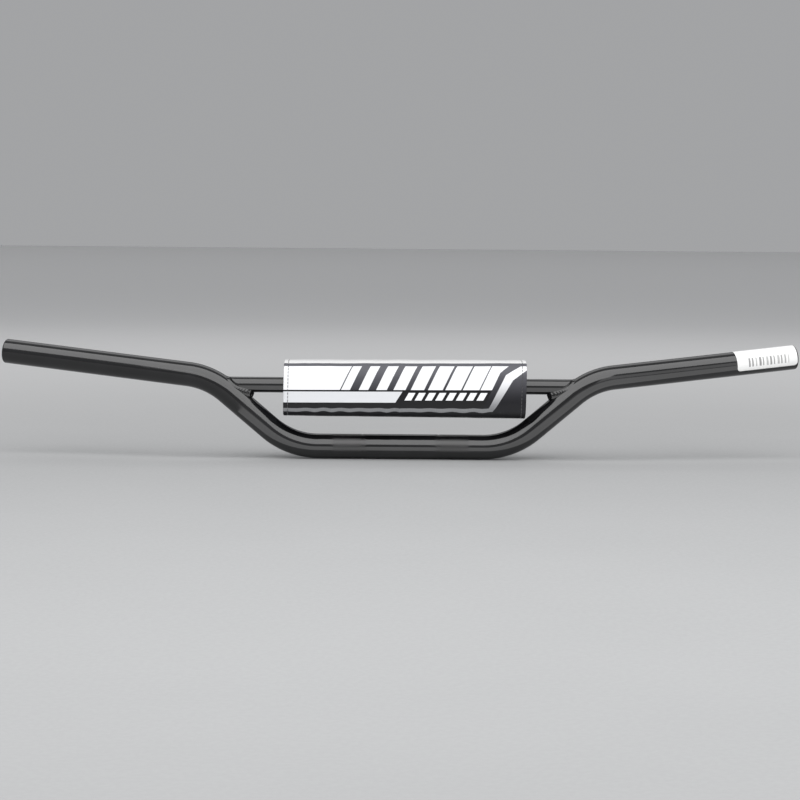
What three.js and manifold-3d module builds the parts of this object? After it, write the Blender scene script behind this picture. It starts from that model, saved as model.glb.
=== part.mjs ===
// A motorcycle handlebar: one bent steel tube, a crossbar welded between its risers, and a foam
// crossbar pad in a vinyl cover that closes at the back with a hook-and-loop flap.
//
// Millimetres. +X runs along the bar, +Y points back towards the rider, +Z is up.
// The origin is on the tube's axis, in the middle of the straight section that the clamps hold.
import * as THREE from "three";
import { mergeVertices } from "three/addons/utils/BufferGeometryUtils.js";
import Module from "manifold-3d";

const wasm = await Module();
wasm.setup();

const { degToRad } = THREE.MathUtils;

// ---------------------------------------------------------------- driving dimensions

const GAP = 0.3; // clearance between neighbouring solids

// Main tube, 22.2 mm (7/8 in) outside
const TUBE_RADIUS = 11.1;
const TUBE_WALL = 2.5;
const HALF_WIDTH = 362.5; // from the middle to the centre of each end face
const CENTRE_HALF = 74.5; // half of the straight clamping section
const LOWER_BEND_RADIUS = 68;
const RISE = degToRad(40.2); // slope of the risers
const RISER_LENGTH = 50;
const UPPER_BEND_RADIUS = 62;
const UPSWEEP = degToRad(5.75); // of the grips, above level
const BACKSWEEP = degToRad(13.5); // of the grips, towards the rider
const TUBE_SIDES = 32;
const LOWER_BEND_STEPS = 7;
const UPPER_BEND_STEPS = 5;

// Crossbar and its welds
const CROSSBAR_RADIUS = 7;
const CROSSBAR_WALL = 1.6;
const CROSSBAR_HEIGHT = 54.9; // axis above the clamping section's axis
const CROSSBAR_HALF = 165; // to a point inside the main tube's wall
const CROSSBAR_SIDES = 24;
const WELD_LEG = 3.2;
const WELD_SPAN = [120, 168]; // where along X the weld may lie, its far end inside the main tube

// Crossbar pad, outside of its cover
const PAD_SPAN = [-105.3, 112]; // its right end clears the main tube's bend as the pad turns
const PAD_TOP = 78;
const PAD_BOTTOM = 27.2;
const PAD_FRONT = -22;
const PAD_BACK = 22; // outer face of the closed flap
const PAD_CORNER = 15;
const PAD_BACK_CORNER = 12.5; // below the closure, where the cover turns up under the flap
const COVER = 1; // vinyl thickness
const TAPE = 1.1; // thickness of the hook tape and of the loop tape
const TAPE_WIDTH = 20;
const FLAP_HEIGHT = 22.4;
const HINGE_TO_COVER = 0.8; // from the flap's fold line to the edge of the cover above it
const TAPE_DROP = 1.4; // from the fold line down to the hook tape
const LOOP_DROP = 1; // from the fold line down to the loop tape
const FOAM_INSET = 2.5; // from each end of the cover to the foam
const BORE_GAP = 0.4; // between the crossbar and the foam
const SLIT_HALF = 0.5; // half the width of the slit that lets the foam onto the crossbar
const CORNER_SEGMENTS = 4; // pairs of facets in a quarter turn

// Stitching, sunk in grooves in the vinyl and the loop tape
const THREAD = 0.6; // width and depth
const THREAD_PROUD = 0.3; // above the vinyl's face
const HEM = 4; // from each end of the cover to its stitch line
const HEM_STOP = 1.6; // from an edge of the vinyl to the end of its stitch line
const TAPE_HEM = 9; // from each end of the cover to the ends of the tapes
const TAPE_STITCH = 2.2; // from a long edge of a tape to its stitch line
const STITCH_STOP = 2; // from the ends of a tape to the ends of its stitch line
const TAPE_THREAD = 0.4; // depth of the thread in the loop tape, level with its face

// Sticker round one grip
const LABEL_LENGTH = 58.8;
const LABEL_TO_END = 1.4;
const LABEL_THICKNESS = 0.25;
const LABEL_FROM = degToRad(-40); // measured from the top of the grip towards its front
const LABEL_TO = degToRad(125);
const LABEL_SEGMENTS = 10; // pairs of facets

// ---------------------------------------------------------------- materials

function material(name, color, roughness, metalness = 0) {
  return new THREE.MeshStandardMaterial({ name, color, roughness, metalness });
}

const glossBlack = material("gloss_black_paint", 0x0b0b0d, 0.16, 0.3);
const vinyl = material("printed_vinyl", 0xe9ebee, 0.42);
const blackVinyl = material("black_vinyl", 0x19191c, 0.5);
const foam = material("pad_foam", 0x2a2a2c, 0.95);
const tape = material("hook_and_loop_tape", 0x121214, 0.9);
const thread = material("thread", 0x1c1c1e, 0.8);
const paper = material("label_paper", 0xe6e6e4, 0.55);

// ---------------------------------------------------------------- solids

// A closed geometry as a manifold solid.
function solidOf(geometry) {
  const bare = geometry.clone();
  bare.deleteAttribute("normal");
  bare.deleteAttribute("uv");
  const merged = mergeVertices(bare, 1e-4);
  return new wasm.Manifold(
    new wasm.Mesh({
      numProp: 3,
      vertProperties: merged.attributes.position.array,
      triVerts: new Uint32Array(merged.index.array),
    }),
  );
}

// A manifold solid as a geometry.
function geometryOf(solid) {
  const mesh = solid.getMesh();
  const geometry = new THREE.BufferGeometry();
  geometry.setAttribute("position", new THREE.BufferAttribute(mesh.vertProperties, 3));
  geometry.setIndex(new THREE.BufferAttribute(mesh.triVerts, 1));
  geometry.computeVertexNormals();
  return geometry;
}

// A full ring or disc of the given radii; inner 0 makes a disc.
function ringShape(outer, inner = 0) {
  const shape = new THREE.Shape().absarc(0, 0, outer, 0, 2 * Math.PI);
  if (inner > 0) shape.holes.push(new THREE.Path().absarc(0, 0, inner, 0, 2 * Math.PI, true));
  return shape;
}

// A section drawn as (y, z), extruded along X between two places.
const SECTION_TO_WORLD = new THREE.Matrix4().makeBasis(
  new THREE.Vector3(0, 1, 0),
  new THREE.Vector3(0, 0, 1),
  new THREE.Vector3(1, 0, 0),
);

function alongX(shape, [from, to], curveSegments) {
  return new THREE.ExtrudeGeometry(shape, { depth: to - from, bevelEnabled: false, curveSegments })
    .applyMatrix4(SECTION_TO_WORLD)
    .translate(from, 0, 0);
}

// A box between two (y, z) corners, along X.
function barAlongX([y0, z0], [y1, z1], [from, to]) {
  return new THREE.BoxGeometry(to - from, y1 - y0, z1 - z0).translate(
    (from + to) / 2,
    (y0 + y1) / 2,
    (z0 + z1) / 2,
  );
}

// ---------------------------------------------------------------- main tube

// The unit vector that leans up by one angle and back by another from +X.
function leaning(up, back) {
  return new THREE.Vector3(
    Math.cos(up) * Math.cos(back),
    Math.cos(up) * Math.sin(back),
    Math.sin(up),
  );
}

const RISER_DIRECTION = leaning(RISE, 0);
const GRIP_DIRECTION = leaning(UPSWEEP, BACKSWEEP);

// Adds a straight length to a list of stations, each a point on the axis and the tangent there.
function addStraight(stations, length) {
  const { point, tangent } = stations.at(-1);
  stations.push({ point: point.clone().addScaledVector(tangent, length), tangent });
}

// Adds a bend of the given radius that turns the axis to a new direction.
function addBend(stations, direction, radius, steps) {
  const { point: start, tangent } = stations.at(-1);
  const angle = tangent.angleTo(direction);
  const inward = direction
    .clone()
    .addScaledVector(tangent, -tangent.dot(direction))
    .normalize();
  for (let i = 1; i <= steps; i++) {
    const turn = (angle * i) / steps;
    const point = start
      .clone()
      .addScaledVector(tangent, radius * Math.sin(turn))
      .addScaledVector(inward, radius * (1 - Math.cos(turn)));
    const heading = tangent
      .clone()
      .multiplyScalar(Math.cos(turn))
      .addScaledVector(inward, Math.sin(turn));
    stations.push({ point, tangent: heading });
  }
}

// Stations of the +X half, from the middle of the bar to its end.
function rightHalf() {
  const stations = [{ point: new THREE.Vector3(), tangent: new THREE.Vector3(1, 0, 0) }];
  addStraight(stations, CENTRE_HALF);
  addBend(stations, RISER_DIRECTION, LOWER_BEND_RADIUS, LOWER_BEND_STEPS);
  addStraight(stations, RISER_LENGTH);
  addBend(stations, GRIP_DIRECTION, UPPER_BEND_RADIUS, UPPER_BEND_STEPS);
  const grip = (HALF_WIDTH - stations.at(-1).point.x) / GRIP_DIRECTION.x;
  addStraight(stations, grip / 2);
  addStraight(stations, grip / 2);
  return stations;
}

function mirrored({ point, tangent }) {
  return {
    point: new THREE.Vector3(-point.x, point.y, point.z),
    tangent: new THREE.Vector3(tangent.x, -tangent.y, -tangent.z),
  };
}

const rightStations = rightHalf();
const barStations = [...rightStations.slice(1).reverse().map(mirrored), ...rightStations];

// A curve known at its stations, which an extrusion with one step per interval visits exactly.
class StationCurve extends THREE.Curve {
  constructor(stations) {
    super();
    this.stations = stations;
  }

  station(u) {
    return this.stations[Math.round(u * (this.stations.length - 1))];
  }

  getPointAt(u, target = new THREE.Vector3()) {
    return target.copy(this.station(u).point);
  }

  getTangentAt(u, target = new THREE.Vector3()) {
    return target.copy(this.station(u).tangent);
  }
}

// A rod or tube that follows the whole bar.
function alongBar(outer, inner, sides) {
  return new THREE.ExtrudeGeometry(ringShape(outer, inner), {
    steps: barStations.length - 1,
    curveSegments: sides / 2,
    extrudePath: new StationCurve(barStations),
  });
}

function mainTube() {
  return alongBar(TUBE_RADIUS, TUBE_RADIUS - TUBE_WALL, TUBE_SIDES);
}

// The main tube grown by a clearance, without its bore, to cut or bound what meets it.
function tubeEnvelope(clearance) {
  return solidOf(alongBar(TUBE_RADIUS + clearance, 0, CROSSBAR_SIDES));
}

// ---------------------------------------------------------------- crossbar and welds

function crossbarRod(outer, inner, span) {
  return alongX(ringShape(outer, inner), span, CROSSBAR_SIDES / 2).translate(0, 0, CROSSBAR_HEIGHT);
}

// The crossbar tube, its ends cut to the shape of the main tube.
function crossbarTube() {
  const blank = crossbarRod(CROSSBAR_RADIUS, CROSSBAR_RADIUS - CROSSBAR_WALL, [
    -CROSSBAR_HALF,
    CROSSBAR_HALF,
  ]);
  return geometryOf(solidOf(blank).subtract(tubeEnvelope(GAP)));
}

// The fillet round one end of the crossbar: what is near both tubes and inside neither.
function weld(side) {
  const span = WELD_SPAN.map((x) => side * x).sort((a, b) => a - b);
  const bead = solidOf(crossbarRod(CROSSBAR_RADIUS + WELD_LEG, 0, span))
    .intersect(tubeEnvelope(WELD_LEG))
    .subtract(solidOf(crossbarRod(CROSSBAR_RADIUS + GAP, 0, [-HALF_WIDTH, HALF_WIDTH])))
    .subtract(tubeEnvelope(GAP));
  return geometryOf(bead);
}

// ---------------------------------------------------------------- pad cover and foam

// The layers at the back of the pad, from the closed flap's outer face inwards, as values of y.
const FLAP_INNER = PAD_BACK - COVER;
const HOOK_OUTER = FLAP_INNER - GAP;
const HOOK_INNER = HOOK_OUTER - TAPE;
const LOOP_OUTER = HOOK_INNER - GAP;
const LOOP_INNER = LOOP_OUTER - TAPE;
const UNDER_OUTER = LOOP_INNER - GAP; // the cover's lower edge, turned up under the flap
const UNDER_INNER = UNDER_OUTER - COVER;
const FOAM_BACK = UNDER_INNER - GAP;

const COVER_EDGE = PAD_TOP - PAD_CORNER; // where the cover stops and the flap begins
const FOLD = COVER_EDGE - HINGE_TO_COVER; // the flap turns about this height
const FLAP_MIDDLE = PAD_BACK - COVER / 2; // the fold line's y
const FLAP_EDGE = FOLD - FLAP_HEIGHT;

// The quarter turns that the cover makes, counter-clockwise from the fold over the top and the
// front to the lower edge, on a line the given depth inside its outer face.
function wrapTurns(depth) {
  const corner = PAD_CORNER - depth;
  const quarter = Math.PI / 2;
  return [
    [PAD_BACK - PAD_CORNER, PAD_TOP - PAD_CORNER, corner, 0, quarter],
    [PAD_FRONT + PAD_CORNER, PAD_TOP - PAD_CORNER, corner, quarter, 2 * quarter],
    [PAD_FRONT + PAD_CORNER, PAD_BOTTOM + PAD_CORNER, corner, 2 * quarter, 3 * quarter],
    [
      UNDER_OUTER - PAD_BACK_CORNER,
      PAD_BOTTOM + PAD_BACK_CORNER,
      PAD_BACK_CORNER - depth,
      3 * quarter,
      4 * quarter,
    ],
  ];
}

// A band that follows the cover between two depths; stop shortens it at both edges.
function wrapBand(outerDepth, innerDepth, stop) {
  const shape = new THREE.Shape();
  const outer = wrapTurns(outerDepth);
  const inner = wrapTurns(innerDepth);
  for (const [foldTurn] of [outer, inner]) foldTurn[3] = stop / PAD_CORNER;
  for (const turn of outer) shape.absarc(...turn, false);
  shape.lineTo(UNDER_OUTER - outerDepth, FOLD - stop);
  shape.lineTo(UNDER_OUTER - innerDepth, FOLD - stop);
  for (const [y, z, radius, from, to] of inner.reverse()) {
    shape.absarc(y, z, radius, to, from, true);
  }
  return shape;
}

// The places along X of the two hem stitch lines.
const HEM_LINES = [PAD_SPAN[0] + HEM, PAD_SPAN[1] - HEM];

function around(x, width) {
  return [x - width / 2, x + width / 2];
}

function hemThread(x) {
  const shape = wrapBand(-THREAD_PROUD, THREAD - THREAD_PROUD, HEM_STOP);
  return alongX(shape, around(x, THREAD), CORNER_SEGMENTS);
}

function hemGroove(x) {
  const shape = wrapBand(-COVER, THREAD - THREAD_PROUD + GAP, HEM_STOP - GAP);
  return solidOf(alongX(shape, around(x, THREAD + 2 * GAP), CORNER_SEGMENTS));
}

function padCover() {
  const sheet = solidOf(alongX(wrapBand(0, COVER, 0), PAD_SPAN, CORNER_SEGMENTS));
  return geometryOf(HEM_LINES.reduce((cover, x) => cover.subtract(hemGroove(x)), sheet));
}

// The foam fills the cover, with a bore for the crossbar and a slit from it to the back.
function padFoam() {
  const bore = CROSSBAR_RADIUS + BORE_GAP;
  const slitAngle = Math.asin(SLIT_HALF / bore);
  const shape = new THREE.Shape();
  for (const turn of wrapTurns(COVER + GAP)) shape.absarc(...turn, false);
  shape.lineTo(FOAM_BACK, CROSSBAR_HEIGHT - SLIT_HALF);
  shape.absarc(0, CROSSBAR_HEIGHT, bore, 2 * Math.PI - slitAngle, slitAngle, true);
  shape.lineTo(FOAM_BACK, CROSSBAR_HEIGHT + SLIT_HALF);
  shape.lineTo(FOAM_BACK, COVER_EDGE);
  const span = [PAD_SPAN[0] + FOAM_INSET, PAD_SPAN[1] - FOAM_INSET];
  return alongX(shape, span, CROSSBAR_SIDES / 2);
}

// ---------------------------------------------------------------- closure

const TAPE_SPAN = [PAD_SPAN[0] + TAPE_HEM, PAD_SPAN[1] - TAPE_HEM];
const STITCH_SPAN = [TAPE_SPAN[0] + STITCH_STOP, TAPE_SPAN[1] - STITCH_STOP];
const HOOK_TOP = FOLD - TAPE_DROP;
const LOOP_TOP = FOLD - LOOP_DROP;

// Heights of the two stitch lines along a tape with the given top edge.
function stitchHeights(top) {
  return [top - TAPE_STITCH, top - TAPE_WIDTH + TAPE_STITCH];
}

// A straight thread along X, its outer face at the given y.
function tapeThread(outer, depth, z) {
  const low = [outer - depth, z - THREAD / 2];
  const high = [outer, z + THREAD / 2];
  return barAlongX(low, high, STITCH_SPAN);
}

// The groove that such a thread lies in.
function tapeGroove(outer, depth, z) {
  const low = [outer - depth - GAP, z - THREAD / 2 - GAP];
  const high = [outer + COVER, z + THREAD / 2 + GAP];
  return solidOf(barAlongX(low, high, [STITCH_SPAN[0] - GAP, STITCH_SPAN[1] + GAP]));
}

// A thread up the flap, which carries on the cover's hem.
function flapThread(x, grow = 0) {
  const low = [PAD_BACK + THREAD_PROUD - THREAD - grow, FLAP_EDGE + HEM_STOP - grow];
  const high = [PAD_BACK + THREAD_PROUD + grow, FOLD - HEM_STOP + grow];
  return barAlongX(low, high, around(x, THREAD + 2 * grow));
}

// The flap: the cover past its fold line, with a round edge where it turns.
function closureFlap() {
  const half = COVER / 2;
  const section = new THREE.Shape()
    .moveTo(FLAP_INNER, FLAP_EDGE)
    .lineTo(PAD_BACK, FLAP_EDGE)
    .absarc(FLAP_MIDDLE, FOLD, half, 0, Math.PI, false);
  let flap = solidOf(alongX(section, PAD_SPAN, CORNER_SEGMENTS));
  for (const z of stitchHeights(HOOK_TOP)) {
    flap = flap.subtract(tapeGroove(PAD_BACK + THREAD_PROUD, THREAD, z));
  }
  for (const x of HEM_LINES) flap = flap.subtract(solidOf(flapThread(x, GAP)));
  return geometryOf(flap);
}

function hookStrip() {
  return barAlongX([HOOK_INNER, HOOK_TOP - TAPE_WIDTH], [HOOK_OUTER, HOOK_TOP], TAPE_SPAN);
}

function loopStrip() {
  const low = [LOOP_INNER, LOOP_TOP - TAPE_WIDTH];
  let strip = solidOf(barAlongX(low, [LOOP_OUTER, LOOP_TOP], TAPE_SPAN));
  for (const z of stitchHeights(LOOP_TOP)) {
    strip = strip.subtract(tapeGroove(LOOP_OUTER, TAPE_THREAD, z));
  }
  return geometryOf(strip);
}

// ---------------------------------------------------------------- sticker

// A thin curved sheet round an axis along +Z; its group turns +Z onto the grip's axis.
function labelSheet() {
  const inner = TUBE_RADIUS + GAP;
  const shape = new THREE.Shape()
    .absarc(0, 0, inner + LABEL_THICKNESS, LABEL_FROM, LABEL_TO, false)
    .absarc(0, 0, inner, LABEL_TO, LABEL_FROM, true);
  return new THREE.ExtrudeGeometry(shape, {
    depth: LABEL_LENGTH,
    bevelEnabled: false,
    curveSegments: LABEL_SEGMENTS,
  });
}

// A frame on the grip's axis: +Z outwards along the grip, +X up, +Y straight ahead.
function gripFrame(distanceFromEnd) {
  const ahead = new THREE.Vector3(GRIP_DIRECTION.y, -GRIP_DIRECTION.x, 0).normalize();
  const up = new THREE.Vector3().crossVectors(ahead, GRIP_DIRECTION);
  const frame = new THREE.Group();
  frame.quaternion.setFromRotationMatrix(new THREE.Matrix4().makeBasis(up, ahead, GRIP_DIRECTION));
  frame.position
    .copy(rightStations.at(-1).point)
    .addScaledVector(GRIP_DIRECTION, -distanceFromEnd);
  return frame;
}

// ---------------------------------------------------------------- assembly

function part(name, geometry, look) {
  const mesh = new THREE.Mesh(geometry, look);
  mesh.name = name;
  return mesh;
}

const bar = new THREE.Group();
bar.add(part("main_tube", mainTube(), glossBlack));
bar.add(part("crossbar_tube", crossbarTube(), glossBlack));
bar.add(part("weld_right", weld(1), glossBlack));
bar.add(part("weld_left", weld(-1), glossBlack));
const labelFrame = gripFrame(LABEL_TO_END + LABEL_LENGTH);
labelFrame.add(part("label", labelSheet(), paper));
bar.add(labelFrame);

const pad = new THREE.Group();
pad.add(part("pad_foam", padFoam(), foam));
pad.add(part("pad_cover", padCover(), vinyl));
pad.add(part("loop_strip", loopStrip(), tape));
["left", "right"].forEach((side, i) => {
  pad.add(part(`hem_thread_${side}`, hemThread(HEM_LINES[i]), thread));
});
["upper", "lower"].forEach((row, i) => {
  const z = stitchHeights(LOOP_TOP)[i];
  pad.add(part(`loop_thread_${row}`, tapeThread(LOOP_OUTER, TAPE_THREAD, z), thread));
});

const flap = new THREE.Group();
flap.add(part("closure_flap", closureFlap(), blackVinyl));
flap.add(part("hook_strip", hookStrip(), tape));
["left", "right"].forEach((side, i) => {
  flap.add(part(`flap_thread_${side}`, flapThread(HEM_LINES[i]), thread));
});
["upper", "lower"].forEach((row, i) => {
  const z = stitchHeights(HOOK_TOP)[i];
  flap.add(part(`hook_thread_${row}`, tapeThread(PAD_BACK + THREAD_PROUD, THREAD, z), thread));
});

const handlebar = new THREE.Group();
handlebar.add(bar, pad);
pad.add(flap);

export default handlebar;
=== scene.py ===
"""A motorcycle handlebar: bent tube, welded crossbar and a foam pad in a printed vinyl cover."""

import math

import bpy
import numpy as np
from mathutils import Matrix, Vector


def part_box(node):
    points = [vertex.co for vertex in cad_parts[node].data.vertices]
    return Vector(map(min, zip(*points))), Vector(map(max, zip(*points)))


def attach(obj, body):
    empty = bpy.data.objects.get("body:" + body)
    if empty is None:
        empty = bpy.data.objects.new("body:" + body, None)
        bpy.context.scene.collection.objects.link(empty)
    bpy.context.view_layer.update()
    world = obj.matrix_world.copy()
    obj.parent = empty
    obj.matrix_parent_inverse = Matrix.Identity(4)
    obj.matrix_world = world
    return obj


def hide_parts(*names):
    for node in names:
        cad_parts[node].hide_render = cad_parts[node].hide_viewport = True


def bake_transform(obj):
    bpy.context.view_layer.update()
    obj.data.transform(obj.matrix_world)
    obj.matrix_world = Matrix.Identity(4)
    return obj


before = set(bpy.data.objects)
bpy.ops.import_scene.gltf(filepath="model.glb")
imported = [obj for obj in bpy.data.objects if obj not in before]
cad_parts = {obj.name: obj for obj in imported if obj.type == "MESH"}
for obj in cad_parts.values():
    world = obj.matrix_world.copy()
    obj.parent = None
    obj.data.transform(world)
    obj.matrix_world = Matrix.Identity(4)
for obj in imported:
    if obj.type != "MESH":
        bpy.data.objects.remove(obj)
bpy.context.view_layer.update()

MM = 0.001  # everything below is in millimetres until its mesh is made


def node_box(name):
    """The lowest and highest corners of a CAD node, in millimetres."""
    return [np.array(corner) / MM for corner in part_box(name)]


def smooth(value, low, high):
    """0 below low, 1 above high and a smooth step between."""
    t = np.clip((np.asarray(value, float) - low) / (high - low), 0, 1)
    return t * t * (3 - 2 * t)


def unit(vectors):
    return vectors / np.linalg.norm(vectors, axis=-1, keepdims=True)


def dots(first, second):
    """The dot product of each pair of rows."""
    return np.einsum("ij,ij->i", first, second)


def full_turn(count):
    return np.arange(count) * (2 * math.pi / count)


def linked(name, data):
    """A new object in the scene."""
    made = bpy.data.objects.new(name, data)
    bpy.context.scene.collection.objects.link(made)
    return made


# ------------------------------------------------------------------ meshes


def grid_faces(rows, columns, close_rows=False, close_columns=False):
    """Quads over a grid of points numbered row by row."""
    i = np.arange(rows if close_rows else rows - 1)[:, None]
    j = np.arange(columns if close_columns else columns - 1)[None, :]
    below, right = (i + 1) % rows, (j + 1) % columns
    corners = (i * columns + j, i * columns + right, below * columns + right, below * columns + j)
    return np.stack(np.broadcast_arrays(*corners), axis=-1).reshape(-1, 4)


def signed_volume(points, faces):
    """Six times the volume that the faces enclose, negative if they face inwards."""
    total = 0.0
    for group in faces:
        first = points[group[:, 0]]
        for k in range(1, group.shape[1] - 1):
            edge = np.cross(points[group[:, k]], points[group[:, k + 1]])
            total += np.einsum("ij,ij->", first, edge)
    return total


def mesh_object(name, points, faces, materials, face_materials=None, uv=None):
    """A smooth closed mesh from points in millimetres and groups of faces of equal size."""
    if signed_volume(points, faces) < 0:
        faces = [group[:, ::-1] for group in faces]
    mesh = bpy.data.meshes.new(name)
    mesh.from_pydata((points * MM).tolist(), [], [f for group in faces for f in group.tolist()])
    mesh.polygons.foreach_set("use_smooth", np.ones(len(mesh.polygons), bool))
    for material in materials:
        mesh.materials.append(material)
    if face_materials is not None:
        mesh.polygons.foreach_set("material_index", face_materials)
    if uv is not None:
        corners = np.empty(len(mesh.loops), np.int32)
        mesh.loops.foreach_get("vertex_index", corners)
        layer = mesh.uv_layers.new(name=PRINT_MAP)
        layer.data.foreach_set("uv", uv[corners].astype(np.float32).ravel())
    mesh.update()
    return linked(name, mesh)


def add_piece(name, shape, materials, body, node, slot, **options):
    """Makes a piece that rides on a body in place of a CAD node."""
    points, faces = shape
    made = mesh_object(name, points, faces, materials, **options)
    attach(made, body)
    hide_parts(node)
    return made


def joined(shapes):
    """Several shapes as one."""
    start, points, faces = 0, [], []
    for part_points, part_faces in shapes:
        points.append(part_points)
        faces += [group + start for group in part_faces]
        start += len(part_points)
    return np.concatenate(points), faces


def copies(shape, origins, axes):
    """A shape repeated at each origin; the rows of each axes matrix are the copy's x, y and z."""
    points, faces = shape
    placed = origins[:, None] + np.einsum("pk,nkc->npc", points, axes)
    offsets = np.arange(len(origins)) * len(points)
    repeated = [
        (group[None] + offsets[:, None, None]).reshape(-1, group.shape[1]) for group in faces
    ]
    return placed.reshape(-1, 3), repeated


def swept(path, radii, binormal, sides):
    """A round rod with flat ends along a path in the plane across binormal."""
    tangent = unit(np.gradient(path, axis=0))
    normal = np.cross(tangent, binormal)
    angles = full_turn(sides)
    ring = (
        np.cos(angles)[None, :, None] * normal[:, None]
        + np.sin(angles)[None, :, None] * np.asarray(binormal, float)
    )
    points = path[:, None] + np.asarray(radii, float)[:, None, None] * ring
    ends = np.array([range(sides - 1, -1, -1), range((len(path) - 1) * sides, len(path) * sides)])
    return points.reshape(-1, 3), [grid_faces(len(path), sides, close_columns=True), ends]


def slab(outer, inner):
    """A closed sheet between two grids of points."""
    rows, columns = outer.shape[:2]
    points = np.concatenate([outer.reshape(-1, 3), inner.reshape(-1, 3)])
    top = grid_faces(rows, columns)
    index = np.arange(rows * columns).reshape(rows, columns)
    rim = np.concatenate([index[0], index[1:, -1], index[-1, -2::-1], index[-2:0:-1, 0]])
    wall = np.stack([rim, np.roll(rim, -1)], axis=1)
    shift = rows * columns
    walls = np.column_stack([wall[:, 1], wall[:, 0], wall[:, 0] + shift, wall[:, 1] + shift])
    return points, [top, top[:, ::-1] + shift, walls]


def cubic_sample(grid, row, column):
    """A grid read between its points with a Catmull-Rom curve each way."""

    def taps(position, count):
        base = np.clip(np.floor(position).astype(int), 0, count - 2)
        t = position - base
        weights = (
            ((2 - t) * t - 1) * t / 2,
            ((3 * t - 5) * t * t + 2) / 2,
            ((4 - 3 * t) * t + 1) * t / 2,
            (t - 1) * t * t / 2,
        )
        return [(np.clip(base + k - 1, 0, count - 1), w) for k, w in enumerate(weights)]

    row_taps, column_taps = taps(row, grid.shape[0]), taps(column, grid.shape[1])
    return sum(wr * wc * grid[i, j] for i, wr in row_taps for j, wc in column_taps)


def lumps(seed, row, column, pitch):
    """Smooth noise of about -1 to 1 over two coordinates in millimetres."""
    size = 64
    grid = np.random.default_rng(seed).uniform(-1, 1, (size, size))
    return cubic_sample(grid, row / pitch % (size - 4) + 1, column / pitch % (size - 4) + 1)


# ------------------------------------------------------------------ materials

PRINT_MAP = "print"  # a UV map that holds millimetres


class Value:
    """A number that varies over a material, written as arithmetic on node sockets."""

    def __init__(self, nodes, socket):
        self.nodes, self.socket = nodes, socket

    def __add__(self, other):
        return self.nodes.math("ADD", self, other)

    def __sub__(self, other):
        return self.nodes.math("SUBTRACT", self, other)

    def __mul__(self, other):
        return self.nodes.math("MULTIPLY", self, other)

    def fraction(self):
        return self.nodes.math("FRACT", self)

    def floor(self):
        return self.nodes.math("FLOOR", self)

    def distance(self, other):
        return self.nodes.math("ABSOLUTE", self - other)

    def above(self, edge, blur=0.12):
        """1 where the value is over the edge, with a soft border."""
        return self.nodes.math("MULTIPLY_ADD", self - edge, 1 / blur, 0.5, clamp=True)

    def below(self, edge, blur=0.12):
        return self.nodes.math("MULTIPLY_ADD", self - edge, -1 / blur, 0.5, clamp=True)

    def between(self, low, high, blur=0.12):
        return self.above(low, blur) * self.below(high, blur)

    def ramp(self, low, high, at_low=0.0, at_high=1.0):
        node = self.nodes.add("ShaderNodeMapRange", interpolation_type="SMOOTHSTEP")
        for socket, value in zip(node.inputs, (self, low, high, at_low, at_high)):
            self.nodes.feed(socket, value)
        return Value(self.nodes, node.outputs[0])


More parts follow.
